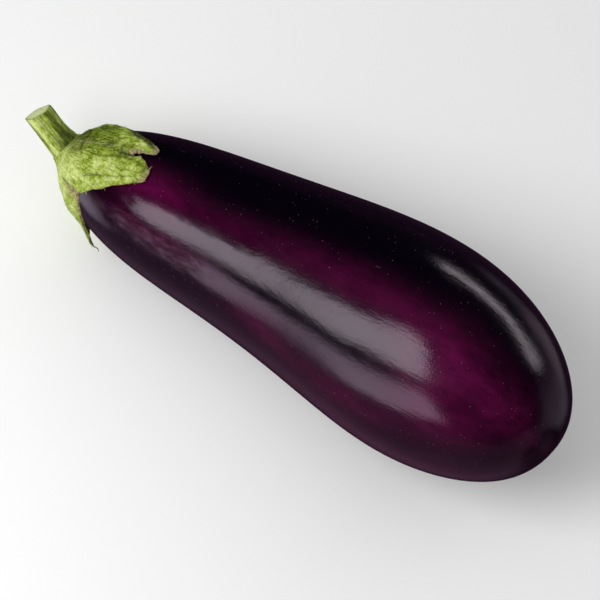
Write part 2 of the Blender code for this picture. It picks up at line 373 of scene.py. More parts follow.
def furrow(share, angle):
    near_scar = np.exp(-(((share - FURROW_SHARE) / FURROW_SPREAD) ** 2))
    valley = (0.5 + 0.5 * np.cos(FURROWS * (angle - FURROW_ANGLE))) ** FURROW_SHARPNESS
    return FURROW_DEPTH * near_scar * valley


def skin_point(share, angle):
    share, angle = np.broadcast_arrays(np.asarray(share, float), np.asarray(angle, float))
    along, left, over = section_frame(share)
    radius = fullness(share) * end_rounding(share) * (1 - furrow(share, angle))
    outward = left * np.cos(angle)[..., None] + over * np.sin(angle)[..., None]
    dimple = DIMPLE_DEPTH * np.exp(-((radius / DIMPLE_RADIUS) ** 2)) * (share > 0.5)
    return centre(share) + outward * radius[..., None] - along * dimple[..., None]


def skin_normal(share, angle):
    step = 0.001
    before = np.maximum(share - step, step / 100)
    down = skin_point(share + step, angle) - skin_point(before, angle)
    around = skin_point(share, angle + step) - skin_point(share, angle - step)
    return unit(np.cross(around, down))


def grid_faces(rows, columns, start=0, closed=True):
    """Quads between the points of a grid that is listed row by row."""
    faces = []
    for row in range(rows - 1):
        for place in range(columns if closed else columns - 1):
            a = start + row * columns + place
            b = start + row * columns + (place + 1) % columns
            faces.append((a, b, b + columns, a + columns))
    return faces


def fan_faces(middle, start, columns):
    """Triangles between a middle point and a ring of points."""
    return [(middle, start + place, start + (place + 1) % columns) for place in range(columns)]


def add_mesh(name, points, faces, attributes, paint):
    """A smooth-shaded object at the origin, with number or vector attributes on its points."""
    mesh = bpy.data.meshes.new(name)
    mesh.from_pydata([tuple(point) for point in points], [], faces)
    for key, values in attributes.items():
        values = np.asarray(values, dtype=np.float32)
        is_vector = values.ndim == 2
        made = mesh.attributes.new(key, "FLOAT_VECTOR" if is_vector else "FLOAT", "POINT")
        made.data.foreach_set("vector" if is_vector else "value", values.ravel())
    mesh.shade_smooth()
    mesh.materials.append(paint)
    return put_in_scene(name, mesh)


def finish_piece(piece, node):
    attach(piece, "root")
    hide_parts(node)


# Redder patches of the skin: share of the length, angle round the fruit in degrees,
# their half sizes in the same measures, and strength
BLUSH = (
    (0.20, 107, 0.09, 16, 0.75),
    (0.24, 138, 0.12, 10, 0.40),
    (0.42, 106, 0.14, 10, 0.28),
    (0.68, 102, 0.17, 11, 0.50),
    (0.88, 110, 0.09, 20, 0.75),
    (0.88, 140, 0.08, 16, 0.55),
    (0.50, 151, 0.07, 9, 0.45),
    (0.97, 104, 0.04, 26, 0.45),
    (0.70, 158, 0.16, 8, 0.30),
    (0.75, 200, 0.25, 30, 0.30),
    (0.40, 255, 0.30, 35, 0.40),
    (0.70, 310, 0.25, 30, 0.45),
    (0.30, 350, 0.20, 22, 0.25),
)


def degrees_from(at, turn):
    """How far round an angle is from a place, from -180 to 180 degrees."""
    return (turn - at + 180) % 360 - 180


def blush(share, angle):
    total = np.zeros_like(share)
    for at, round_at, long, wide, strength in BLUSH:
        turn = degrees_from(round_at, np.degrees(angle))
        total += strength * np.exp(-(((share - at) / long) ** 2) - (turn / wide) ** 2)
    return np.clip(total, 0.0, 1.0)


# Patches near the stem where the wax is thin: how thin, and where along and round the fruit, as a
# share and in degrees, each of their edges starts and is full
THIN_WAX = (
    (0.85, (-1, 0), (0.50, 0.40), (98, 104), (120.5, 113.5)),
    (0.70, (0.11, 0.14), (0.42, 0.30), (130, 136), (156, 147)),
    (0.80, (-1, 0), (0.21, 0.17), (104, 110), (136, 130)),
)


def wax(share, angle):
    """How well the skin shines, from 0 to 1."""
    turn = np.degrees(angle) % 360
    thin = np.zeros_like(share)
    for how_thin, start, end, from_side, to_side in THIN_WAX:
        lengthwise = smooth_step(*start, share) * smooth_step(*end, share)
        round_it = smooth_step(*from_side, turn) * smooth_step(*to_side, turn)
        thin = np.maximum(thin, how_thin * lengthwise * round_it)
    return 1 - thin


def skin_paint():
    paint, tree = new_paint("skin")
    place = tree.place()
    cloud = tree.noise(70.0, place, detail=4.0, roughness=0.6, stretch=(0.45, 1, 1))
    fine = tree.noise(420.0, place, detail=3.0, roughness=0.65, stretch=(0.35, 1, 1))
    mottle = tree.math("ADD", tree.times(cloud, 0.75), tree.times(fine, 0.35))
    red = tree.times(tree.attribute("blush"), tree.remap(mottle, 0.30, 0.78, 0.35, 1.25))
    colour = tree.mix(red, SKIN_DARK, SKIN_RED)
    # Tiny pale pores and a few rub marks that run lengthwise
    pores = {"Vector": place, "Scale": PORES_PER_METRE, "Randomness": 1.0}
    cells = tree.add("ShaderNodeTexVoronoi", pores)
    lot = tree.add("ShaderNodeSeparateColor", {0: cells.outputs["Color"]}).outputs[0]
    near = tree.remap(cells.outputs["Distance"], 0.13, 0.05)
    pore = tree.times(near, tree.remap(lot, 0.45, 0.98))
    colour = tree.mix(tree.times(pore, 0.55), colour, PORE_COLOUR)
    rub = tree.noise(260.0, place, detail=2.0, roughness=0.5, stretch=(0.16, 1, 1), offset=(3, 5, 7))
    colour = tree.mix(tree.times(tree.remap(rub, 0.74, 0.80), 0.18), colour, RUB_COLOUR)
    # Shallow dents, long fine streaks, a fine grain and the pores all break up the shine
    dent = tree.noise(85.0, place, detail=2.0, roughness=0.5, stretch=(0.6, 1, 1), offset=(1, 2, 3))
    streak = tree.noise(900.0, place, detail=3.0, roughness=0.6, stretch=(0.10, 1, 1))
    grain = tree.noise(1300.0, place, detail=2.0, roughness=0.6, offset=(2, 9, 4))
    normal = tree.bump(dent, DENT_DEPTH)
    normal = tree.bump(streak, STREAK_DEPTH, normal)
    normal = tree.bump(grain, GRAIN_DEPTH, normal)
    normal = tree.bump(pore, PORE_DEPTH, normal)
    roughness = tree.math("ADD", tree.remap(cloud, 0.3, 0.7, 0.11, 0.17), tree.times(streak, 0.05))
    wax_left = tree.mottle(tree.attribute("wax"), (fine, 1.1))
    inputs = {
        "Base Color": colour,
        "Roughness": roughness,
        "Normal": normal,
        "IOR": WAX_IOR,
        "Specular Tint": WAX_TINT,
        "Specular IOR Level": tree.remap(wax_left, 0.15, 0.85, 0.08, 0.5),
    }
    tree.surface(inputs)
    return paint


def make_fruit():
    rings = SKIN_RINGS - 1
    share = (1 - np.cos(pi * np.arange(1, SKIN_RINGS) / SKIN_RINGS)) / 2
    angle = np.linspace(0, 2 * pi, SKIN_SEGMENTS, endpoint=False)
    share_grid, angle_grid = np.meshgrid(share, angle, indexing="ij")
    skin = skin_point(share_grid, angle_grid).reshape(-1, 3)
    poles = skin_point(np.array([0.0, 1.0]), 0.0)
    points = np.concatenate([skin, poles])
    points[:, 2] = np.maximum(points[:, 2], 0.0)
    shares = np.concatenate([share_grid.ravel(), [0.0, 1.0]])
    angles = np.concatenate([angle_grid.ravel(), [0.0, 0.0]])
    faces = grid_faces(rings, SKIN_SEGMENTS)
    faces += [face[::-1] for face in fan_faces(len(skin), 0, SKIN_SEGMENTS)]
    faces += fan_faces(len(skin) + 1, (rings - 1) * SKIN_SEGMENTS, SKIN_SEGMENTS)
    facts = {"blush": blush(shares, angles), "wax": wax(shares, angles)}
    finish_piece(add_mesh("fruit_skin", points, faces, facts, skin_paint()), "fruit")


make_fruit()


# Calyx
# The calyx is one leathery, ribbed leaf of five fused sepals, grown onto the stalk and
# lying on the fruit's shoulder.  Shade is painted into its folds, and its margins are dry and tan.
STEM_FOOT = np.array((-0.9, 1.0, 1.3)) * MM
STEM_BEND = np.array((-4.4, 1.2, 2.1)) * MM
STEM_CUT = np.array((-17.2, 4.2, 11.0)) * MM
STEM_RADIUS = 5.15 * MM
STEM_FLARE = 1.3 * MM
STEM_FLARE_WAY = 0.8
STEM_RIBS = 5
STEM_RIB_HEIGHT = 0.35 * MM
CALYX_LIFT = 0.45 * MM
CALYX_THICKNESS = 0.9 * MM
CALYX_COLUMNS = 44
COLLAR_ROWS = 12
CUP_ROWS = 28
BLADE_ROWS = 38
COLLAR_WAY = 0.28
COLLAR_GAP = 0.32 * MM
COLLAR_HANDLE = 0.27
SHOULDER_HANDLE = 0.45
SHOULDER_REACH = 10.0 * MM
SHOULDER_SWELL = 1.3 * MM
SHOULDER_SPREAD = 5.5 * MM
NOTCHES = (
    (radians(86.5), 38.6 * MM),
    (radians(144.5), 25.4 * MM),
    (radians(226), 27.0 * MM),
    (radians(310), 28.0 * MM),
    (radians(396), 20.5 * MM),
)
# Each sepal: tip from, tip to, tip reach, bellies of its two edges, puff, tip lift, furrows
SEPALS = (
    (radians(92), radians(106), 49.9 * MM, radians(4), radians(-3.5), 0.5 * MM, 0.3 * MM, (0.17, 0.75)),
    (radians(194), radians(199), 36.2 * MM, radians(-3), radians(-5), 0.9 * MM, 2.6 * MM, (0.5,)),
    (radians(262), radians(274), 39.0 * MM, radians(3), radians(3), 0.5 * MM, 0.3 * MM, (0.25, 0.67)),
    (radians(333), radians(346), 41.0 * MM, radians(2), radians(-22), 0.6 * MM, 0.3 * MM, (0.33, 0.75)),
    (radians(431), radians(440), 47.6 * MM, radians(-2), radians(-2), 1.9 * MM, 0.3 * MM, (0.42, 0.75)),
)
LOOSE_SEPAL = 1
PUFF_REACH = 19.5 * MM
PUFF_SPREAD = 3.6 * MM
FOLDS_FROM = 8.0 * MM
FOLDS_FULL = 20.0 * MM
FOLD_DEPTH = 0.45 * MM
FURROW_WIDTH = 0.09
FOLD_FADE = 0.5
TIP_LIFT_POWER = 1.5
TIP_LIFT_LEAST = 0.25
TIP_ROUNDING = 1.8 * MM
TIP_ROUNDING_POWER = 5
EDGE_WAVE = radians(1.2)
EDGE_WAVES = 3
MARGIN_WIDTH = 0.9 * MM
BLADE_LENGTH = 18.0 * MM
# The wall's thickness as a share of the full one: what the margins lose, what the crown has,
# and how much it gains with each millimetre of reach
MARGIN_THINNING = 0.8
CROWN_THICKNESS = 0.2
THICKENING = 1 / 18
# Ridges and wrinkles of the leaf: how often the ridges change, then sizes, and the painted light and shade
# of the ridges
RIDGES_ROUND = 0.55
RIDGES_OUT = 0.35
RIDGE_HEIGHT = 0.22 * MM
RIDGE_LIGHT_AND_SHADE = 0.25
WRINKLE_SIZE = 2.6 * MM
WRINKLE_HEIGHT = 0.14 * MM
# Creases of the leaf, with painted shade at their bottoms: (angle, reach in mm) points, depth, half width,
# shade strength
CREASES = (
    (((98, 23), (96.5, 28), (93, 33), (91, 38), (91, 43), (92.5, 48)), 0.55, 0.55, 0.95),
    (((124, 25), (118, 29), (114.5, 33), (110, 38), (105.5, 42), (103, 46)), 0.50, 0.50, 0.85),
    (((102, 39), (99.5, 44), (98, 48)), 0.25, 0.40, 0.6),
    (((47, 13), (55, 14.5), (65, 16), (76, 16.3), (90, 15.8), (97, 16.5)), 0.45, 0.75, 0.75),
    (((77, 18.5), (79, 20), (82, 21.3)), 0.30, 0.60, 1.0),
    (((150, 15), (147.5, 21), (145, 25)), 0.50, 0.80, 0.9),
    (((87, 34), (87.5, 38), (86, 41)), 0.45, 0.80, 0.95),
    (((62, 20), (68, 27), (73, 34)), 0.20, 0.45, 0.45),
    (((75, 24), (79, 30), (81, 36)), 0.20, 0.40, 0.5),
    (((50, 22), (58, 29), (66, 36)), 0.18, 0.45, 0.4),
    (((100, 12), (102, 15)), 0.15, 0.60, 0.7),
    (((186, 14), (192, 24), (196, 34)), 0.25, 0.45, 0.5),
    (((240, 14), (250, 26), (264, 36)), 0.35, 0.55, 0.7),
    (((275, 16), (279, 26), (272, 36)), 0.35, 0.55, 0.7),
    (((322, 14), (330, 26), (337, 38)), 0.35, 0.55, 0.7),
    (((352, 16), (348, 27), (343, 37)), 0.30, 0.50, 0.6),
    (((226, 15), (226, 26)), 0.35, 0.70, 0.8),
    (((310, 15), (310, 27)), 0.35, 0.70, 0.8),
    (((36, 12), (36, 22)), 0.35, 0.70, 0.8),
)
CREASE_GAIN = 1.3
# The low banks beside a crease: height as a share of its depth, distance in its half widths
BANK_HEIGHT = 0.35
BANK_DISTANCE = 2.4
CREASE_SHADE_WIDTH = 1.2
# Patches of the leaf: what changes, how much, angle and reach, and their half sizes
LEAF_PATCHES = (
    ("pale", 0.45, 145, 12, 45, 12),
    ("pale", 0.15, 108, 33, 14, 14),
    ("pale", 0.10, 60, 33, 14, 6),
    ("pale", -0.45, 68, 20, 30, 8),
    ("pale", -0.25, 84, 30, 8, 9),
    ("pale", 0.10, 125, 30, 8, 8),
    ("shade", 1.0, 64, 10, 32, 7.5),
    ("shade", 0.9, 86.5, 38, 2.2, 4),
    ("scar", 1.0, 97, 14, 13, 4.5),
    ("scar", 0.6, 84, 17, 6, 3),
)
FLAPPED_SEPAL = 4
FLAP_WIDTH = 0.32
FLAP_WIDENING = 0.36
FLAP_SOFTNESS = 0.12
ROLLED_EDGE = 0.10
DRY_STRIP = 0.13
SPOT_AT = 0.91
SPOT_SIZE = 0.06
LEAF_DEEP = (0.065, 0.105, 0.003, 1)
LEAF_FRESH = (0.26, 0.35, 0.018, 1)
LEAF_DOWNY = (0.64, 0.72, 0.26, 1)
SHADE_COLOUR = (0.034, 0.043, 0.004, 1)
SCAR_COLOURS = ((0.055, 0.045, 0.018, 1), (0.27, 0.23, 0.12, 1))
FLAP_SHADE_COLOUR = (0.022, 0.028, 0.007, 1)
CREASE_SHADE_COLOUR = (0.022, 0.030, 0.004, 1)
STRAW_COLOURS = ((0.13, 0.095, 0.035, 1), (0.46, 0.39, 0.20, 1))
SPOT_COLOUR = (0.006, 0.006, 0.002, 1)


def reach_table():
    """Distances over the skin from the crown, and the shares that they end at."""
    shares = np.linspace(0.0, 0.7, 400) ** 2.5
    points = skin_point(shares, pi / 2)
    steps = np.linalg.norm(np.diff(points, axis=0), axis=1)
    return np.concatenate([[0.0], np.cumsum(steps)]), shares


REACHES, REACH_SHARES = reach_table()


def share_at(reach):
    return np.interp(reach, REACHES, REACH_SHARES)


def column(values):
    return np.asarray(values)[..., None]


def stem_centre(way):
    way = column(way)
    bent = STEM_FOOT * (1 - way) ** 2 + STEM_BEND * 2 * way * (1 - way) + STEM_CUT * way**2
    return centre(np.array(0.0)) + bent


def stem_frame(way):
    step = 0.01
    up_stem = unit(stem_centre(way + step) - stem_centre(way - step))
    left = unit(np.cross([0.0, 0.0, 1.0], -up_stem))
    return up_stem, left, np.cross(-up_stem, left)


def stem_surface(way, angle, clearance=0.0):
    way, angle = np.broadcast_arrays(np.asarray(way, float), np.asarray(angle, float))
    _, left, over = stem_frame(way)
    flare = STEM_FLARE * (1 - smooth_step(0.0, STEM_FLARE_WAY, way))
    rib = STEM_RIB_HEIGHT * np.cos(STEM_RIBS * angle) * np.minimum(1.0, 2 * way)
    outward = left * column(np.cos(angle)) + over * column(np.sin(angle))
    return stem_centre(way) + outward * column(STEM_RADIUS + flare + rib + clearance)


def fold_ridges(furrows, across):
    """One on the ridges and nought at the bottoms of the furrows, given across the sepal."""
    valleys = sum(np.exp(-(((across - at) / FURROW_WIDTH) ** 2)) for at in furrows)
    return 1 - valleys


def blade_place(index, across, down):
    """Angle, reach and share past the notches; down is 0 at the shoulder, 1 at the notches, 2 at the tip."""
    tip_from, tip_to, tip_reach, belly_from, belly_to = SEPALS[index][:5]
    from_angle, from_reach = NOTCHES[index]
    to_angle, to_reach = NOTCHES[(index + 1) % len(NOTCHES)]
    if to_angle < from_angle:
        to_angle += 2 * pi
    notch_reach = from_reach + (to_reach - from_reach) * across
    past = np.clip(down - 1, 0.0, 1.0)
    wave = EDGE_WAVE * np.sin(2 * pi * EDGE_WAVES * past) * (1 - past)
    from_edge = from_angle + (tip_from - from_angle) * past - belly_from * np.sin(pi * past) - wave
    to_edge = to_angle + (tip_to - to_angle) * past + belly_to * np.sin(pi * past) + wave
    end_reach = tip_reach - TIP_ROUNDING * np.abs(2 * across - 1) ** TIP_ROUNDING_POWER
    cup_reach = SHOULDER_REACH + (notch_reach - SHOULDER_REACH) * np.clip(down, 0.0, 1.0)
    return from_edge + (to_edge - from_edge) * across, cup_reach + (end_reach - notch_reach) * past, past


def blade_point(index, across, down):
    puff, tip_lift, furrows = SEPALS[index][5:]
    angle, reach, past = blade_place(index, across, down)
    rise = smooth_step(FOLDS_FROM, FOLDS_FULL, reach)
    swell = puff * np.sin(pi * across) * np.exp(-(((reach - PUFF_REACH) / PUFF_SPREAD) ** 2))
    fold = fold_ridges(furrows, across) * FOLD_DEPTH * (1 - FOLD_FADE * past)
    twist = across + (1 - across) * past**2 if index == LOOSE_SEPAL else 1.0
    shoulder = SHOULDER_SWELL * np.exp(-(((reach - SHOULDER_REACH) / SHOULDER_SPREAD) ** 2))
    lift = CALYX_LIFT + shoulder + (swell + fold) * rise
    lift += tip_lift * past**TIP_LIFT_POWER * (TIP_LIFT_LEAST + (1 - TIP_LIFT_LEAST) * twist)
    share = share_at(reach)
    return skin_point(share, angle) + skin_normal(share, angle) * column(lift)


def collar_point(index, across, way):
    """A curve from the collar on the stem, at way 0, down and out onto the shoulder."""
    angle, _, _ = blade_place(index, across, np.zeros_like(across))
    shoulder = blade_point(index, across, np.zeros_like(across))
    slope = unit(blade_point(index, across, np.full_like(across, 1 / 6)) - shoulder)
    collar = stem_surface(COLLAR_WAY, angle, COLLAR_GAP)
    lower = stem_surface(COLLAR_WAY / 2, angle, 2 * COLLAR_GAP)
    span = np.linalg.norm(shoulder - collar, axis=-1, keepdims=True)
    below_collar = collar + unit(lower - collar) * span * COLLAR_HANDLE
    above_shoulder = shoulder - slope * span * SHOULDER_HANDLE
    way = column(way)
    rest = 1 - way
    upper_half = collar * rest**3 + below_collar * 3 * rest**2 * way
    return upper_half + above_shoulder * 3 * rest * way**2 + shoulder * way**3


def sepal_sheet(index):
    """Points of one sepal's grid and what its paint needs to know about them."""
    rows = COLLAR_ROWS + CUP_ROWS + BLADE_ROWS
    row, place = np.meshgrid(np.arange(rows + 1), np.linspace(0, 1, CALYX_COLUMNS + 1), indexing="ij")
    cup = np.clip((row - COLLAR_ROWS) / CUP_ROWS, 0.0, 1.0)
    past = np.clip((row - COLLAR_ROWS - CUP_ROWS) / BLADE_ROWS, 0.0, 1.0)
    points = blade_point(index, place, cup + past)
    collar = collar_point(index, place, np.clip(row / COLLAR_ROWS, 0.0, 1.0))
    points = np.where(column(row < COLLAR_ROWS), collar, points)
    angle, reach, _ = blade_place(index, place, cup + past)
    width = np.linalg.norm(points[:, 0] - points[:, -1], axis=-1)[:, None]
    to_margin = np.minimum(np.minimum(place, 1 - place) * width, (1 - past) * BLADE_LENGTH)
    reach = np.where(row < COLLAR_ROWS, SHOULDER_REACH * row / COLLAR_ROWS, reach)
    facts = {
        "margin": np.exp(-to_margin / MARGIN_WIDTH) * (past > 0),
        "reach": reach / MM,
        "past": past,
        "turn": np.degrees(angle) % 360,
        "place": place,
        "sepal": np.full_like(place, index),
        "along": unit(np.gradient(points, axis=0) + 1e-9),
    }
    return points, facts


def crease_relief(points):
    """How far the creases sink the leaf, with a low bank on both sides, and how much shade is painted in
    them.
    """
    relief = np.zeros(len(points))
    dark = np.zeros(len(points))
    for path, depth, half_width, shade_strength in CREASES:
        turns, reaches = np.array(path, dtype=float).T
        share = share_at(reaches * MM)
        bend = skin_point(share, np.radians(turns)) + skin_normal(share, np.radians(turns)) * MM
        near = np.full(len(points), np.inf)
        for start, end in zip(bend[:-1], bend[1:]):
            way = np.clip((points - start) @ (end - start) / ((end - start) @ (end - start)), 0.0, 1.0)
            near = np.minimum(near, np.linalg.norm(points - start - column(way) * (end - start), axis=-1))
        near = near / (half_width * MM)
        banks = BANK_HEIGHT * np.exp(-((near - BANK_DISTANCE) ** 2))
        relief += CREASE_GAIN * depth * MM * (banks - np.exp(-(near**2)))
        # Painted shade, strongest along the bottom of the crease
        dark = np.maximum(dark, shade_strength * np.exp(-((near / CREASE_SHADE_WIDTH) ** 2)))
    return relief, dark


def wrinkle(points, size, seed):
    """Smooth noise at the points, about -1 to 1."""
    return np.array([noise.noise(Vector(point) / size + Vector((seed, seed, seed))) for point in points])


def joined_sepals():
    """Points, facts and faces of the five sepals, listed one after the other."""
    sheets = [sepal_sheet(index) for index in range(len(SEPALS))]
    rows, columns = sheets[0][0].shape[:2]
    points = np.concatenate([points.reshape(-1, 3) for points, _ in sheets])
    facts = {}
    for key, values in sheets[0][1].items():
        shape = (-1, 3) if values.ndim == 3 else (-1,)
        facts[key] = np.concatenate([each[key].reshape(shape) for _, each in sheets])
    faces = []
    for index in range(len(SEPALS)):
        faces += grid_faces(rows, columns, index * rows * columns, closed=False)
    return points, facts, faces


def outward_of(points):
    """Rough outward directions from the fruit's centreline."""
    share = np.clip((points[:, 0] - STEM_END_X) / FRUIT_LENGTH, 0.02, 0.5)
    return unit(points - centre(share))


def zone(turn, reach, turn_at, reach_at, turn_half, reach_half):
    """A soft-edged patch of the leaf, from 0 to 1, about an angle and a reach."""
    off = degrees_from(turn_at, turn) / turn_half
    return np.exp(-(off**2) - ((reach - reach_at) / reach_half) ** 2)


def add_tones(facts):
    """Where the leaf is pale, shaded, scarred and dried, worked out point by point."""
    turn, reach, place, past = facts["turn"], facts["reach"], facts["place"], facts["past"]
    facts["pale"] = np.full_like(turn, 0.5)
    facts["shade"] = np.zeros_like(turn)
    facts["scar"] = np.zeros_like(turn)
    for name, amount, *where in LEAF_PATCHES:
        facts[name] += amount * zone(turn, reach, *where)
    flapped = facts["sepal"] == FLAPPED_SEPAL
    loose = facts["sepal"] == LOOSE_SEPAL
    # Painted shade on a folded-over flap on one side of a sepal, which is wider towards the tip
    limit = FLAP_WIDTH + FLAP_WIDENING * past
    shaded_flap = smooth_step(limit + FLAP_SOFTNESS, limit - FLAP_SOFTNESS, place) * smooth_step(0.10, 0.35, past)
    facts["shaded_flap"] = flapped * shaded_flap
    # Dried: the rolled edge of that sepal, one edge of the loose one, and the other tips
    roll = np.exp(-(((1 - place) / ROLLED_EDGE) ** 4)) * smooth_step(-0.04, 0.11, past)
    strip = np.exp(-((place / DRY_STRIP) ** 4)) * smooth_step(15, 22, reach) * smooth_step(0.95, 0.6, past)
    tips = smooth_step(0.80, 1.0, past)
    facts["dried"] = flapped * roll + loose * strip + ~loose * tips
    facts["spot"] = loose * np.exp(-(((past - SPOT_AT) / SPOT_SIZE) ** 2))


def leaf_green(tree, pale):
    """Deep olive at 0, fresh green at a half and pale, downy green at 1."""
    fresh = tree.mix(tree.remap(pale, 0.0, 0.5, smooth=False), LEAF_DEEP, LEAF_FRESH)
    return tree.mix(tree.remap(pale, 0.45, 1.1, smooth=False), fresh, LEAF_DOWNY)


def calyx_paint():
    paint, tree = new_paint("calyx")
    place = tree.place()
    turn = tree.times(tree.attribute("turn"), 0.42)
    reach = tree.times(tree.attribute("reach"), 0.26)
    leafwise = tree.add("ShaderNodeCombineXYZ", {0: turn, 1: reach}).outputs[0]
    grain = tree.noise(1.0, leafwise, detail=4.0, roughness=0.65)
    patch = tree.noise(210.0, place, detail=4.0, roughness=0.6)
    fleck = tree.noise(1100.0, place, detail=3.0, roughness=0.7, offset=(5, 1, 2))
    pale = tree.mottle(tree.attribute("pale"), (grain, 1.5), (patch, 1.6), (fleck, 1.5))
    colour = leaf_green(tree, pale)
    shade = tree.times(tree.attribute("shade"), tree.remap(grain, 0.30, 0.62, 0.55, 1.0))
    colour = tree.mix(tree.times(shade, 0.96), colour, SHADE_COLOUR)
    scar = tree.times(tree.attribute("scar"), tree.remap(patch, 0.38, 0.62, 0.15, 1.0))
    colour = tree.mix(tree.times(scar, 0.8), colour, tree.mix(fleck, *SCAR_COLOURS))
    # Painted shade on the folded-over flap of one sepal
    shaded_flap = tree.times(tree.attribute("shaded_flap"), tree.remap(fleck, 0.25, 0.6, 0.65, 1.0))
    colour = tree.mix(shaded_flap, colour, FLAP_SHADE_COLOUR)
    uneven = tree.remap(patch, 0.25, 0.50, 0.55, 1.0)
    # Painted shade at the bottoms of the creases
    colour = tree.mix(tree.times(tree.attribute("crease"), uneven), colour, CREASE_SHADE_COLOUR)
    margin = tree.remap(tree.attribute("margin"), 0.25, 0.85)
    margin = tree.times(margin, tree.remap(fleck, 0.3, 0.6, 0.35, 1.0))
    dried = tree.times(tree.attribute("dried"), uneven)
    dried = tree.math("MAXIMUM", dried, tree.times(margin, 0.8), clamp=True)
    colour = tree.mix(dried, colour, tree.mix(tree.remap(fleck, 0.32, 0.66), *STRAW_COLOURS))
    colour = tree.mix(tree.remap(tree.attribute("spot"), 0.3, 0.75), colour, SPOT_COLOUR)
    normal = tree.bump(patch, 0.25 * MM)
    normal = tree.bump(grain, 0.30 * MM, normal)
    normal = tree.bump(fleck, 0.10 * MM, normal)
    inputs = {
        "Base Color": colour,
        "Roughness": tree.remap(fleck, 0.3, 0.7, 0.50, 0.78),
        "Normal": normal,
        "Specular IOR Level": 0.15,
    }
    tree.surface(inputs)
    return paint


def calyx_sheet(paint):
    """The whole calyx as one thin, creased and wrinkled sheet, facing outwards."""
    points, facts, faces = joined_sepals()
    add_tones(facts)
    # The crease attribute holds how much shade is painted at each point
    relief, facts["crease"] = crease_relief(points)
    bare = np.clip(facts["shaded_flap"] + facts["crease"] + 0.8 * facts["shade"] + 0.8 * facts["scar"], 0.0, 1.0)
    facts["down"] = (1 - facts["margin"]) * smooth_step(7, 13, facts["reach"]) * (1 - bare)
    leafwise = [facts["turn"] * RIDGES_ROUND, facts["reach"] * RIDGES_OUT, facts["sepal"]]
    ridged = wrinkle(np.stack(leafwise, axis=-1), 1.0, 5.0)
    # Painted light on the ridges' tops and painted shade in their lows
    facts["pale"] = facts["pale"] + RIDGE_LIGHT_AND_SHADE * ridged
    relief += wrinkle(points, WRINKLE_SIZE, 3.0) * WRINKLE_HEIGHT + ridged * RIDGE_HEIGHT
    relief *= smooth_step(2.0, 12.0, facts["reach"])
    points = points + outward_of(points) * column(relief)
    sheet = add_mesh("calyx_sheet", points, faces, facts, paint)
    bm = bmesh.new()
    bm.from_mesh(sheet.data)
    bmesh.ops.remove_doubles(bm, verts=bm.verts, dist=0.01 * MM)
    bm.normal_update()
    highest = max(bm.faces, key=lambda face: face.calc_center_median().z)
    if highest.normal.z < 0:
        bmesh.ops.reverse_faces(bm, faces=bm.faces)
    bm.to_mesh(sheet.data)
    bm.free()
    return sheet


def numbers_of(mesh, name):
    """One of the mesh's point attributes as an array."""
    values = np.zeros(len(mesh.vertices), dtype=np.float32)
    mesh.attributes[name].data.foreach_get("value", values)
    return values


def baked(obj, name, paint):
    """A plain mesh object from another one with its modifiers, which then goes."""
    bpy.context.view_layer.update()
    graph = bpy.context.evaluated_depsgraph_get()
    solid = obj.evaluated_get(graph)
    mesh = bpy.data.meshes.new_from_object(solid, preserve_all_data_layers=True, depsgraph=graph)
    bpy.data.objects.remove(obj)
    if not mesh.materials:
        mesh.materials.append(paint)
    mesh.shade_smooth()
    return put_in_scene(name, mesh)


def make_leaf(sheet, paint):
    """The sheet with its wall, which is thin at the margins and over the crown."""
    group = sheet.vertex_groups.new(name="thickness")
    facts = zip(numbers_of(sheet.data, "margin"), numbers_of(sheet.data, "reach"))
    for vertex, (margin, reach) in enumerate(facts):
        thickness = (1 - MARGIN_THINNING * margin) * min(1.0, CROWN_THICKNESS + THICKENING * reach)
        group.add([vertex], float(thickness), "REPLACE")
    wall = sheet.modifiers.new("wall", "SOLIDIFY")
    wall.thickness = CALYX_THICKNESS
    wall.offset = 1.0
    wall.vertex_group = group.name
    made = baked(sheet, "calyx_leaf", paint)
    made.visible_glossy = False
    finish_piece(made, "calyx")


leaf_paint = calyx_paint()
leaf_sheet = calyx_sheet(leaf_paint)
down_bed = leaf_sheet.data.copy()
make_leaf(leaf_sheet, leaf_paint)


# Down on the calyx
# Short pale hairs grow all over the leaf, except at its margins, creases and dark patches.
# They are bent and lie on it, more or less along the sepals.
DOWN_COLOURS = ((0.36, 0.46, 0.08, 1), (0.74, 0.80, 0.38, 1))
# The down's inputs: hairs for each square metre, how large the drawn hair is made, half its
# thickness, how far the wall lifts it off the thin sheet, and a seed
DOWN_INPUTS = {"Density": 0.6e6, "Size": 1.0, "Radius": 0.036 * MM, "Wall": CALYX_THICKNESS, "Seed": 7}
HAIR_BEND = {
    "Start": (0.0, 0.0, -0.1 * MM),
    "Middle": (1.1 * MM, 0.4 * MM, 0.15 * MM),
    "End": (2.4 * MM, 0.0, 0.0),
}
HAIR_STEPS = 4
HAIR_SIDES = 3
HAIR_SIZES = (0.5, 1.3)
HAIR_TURNS = ((0, -0.05, -0.9), (0, 0.05, 0.9))


def down_paint():
    paint, tree = new_paint("down")
    colour = tree.mix(tree.remap(tree.noise(300.0, detail=1.0), 0.3, 0.7), *DOWN_COLOURS)
    tree.surface({"Base Color": colour, "Roughness": 0.8, "Specular IOR Level": 0.2})
    return paint


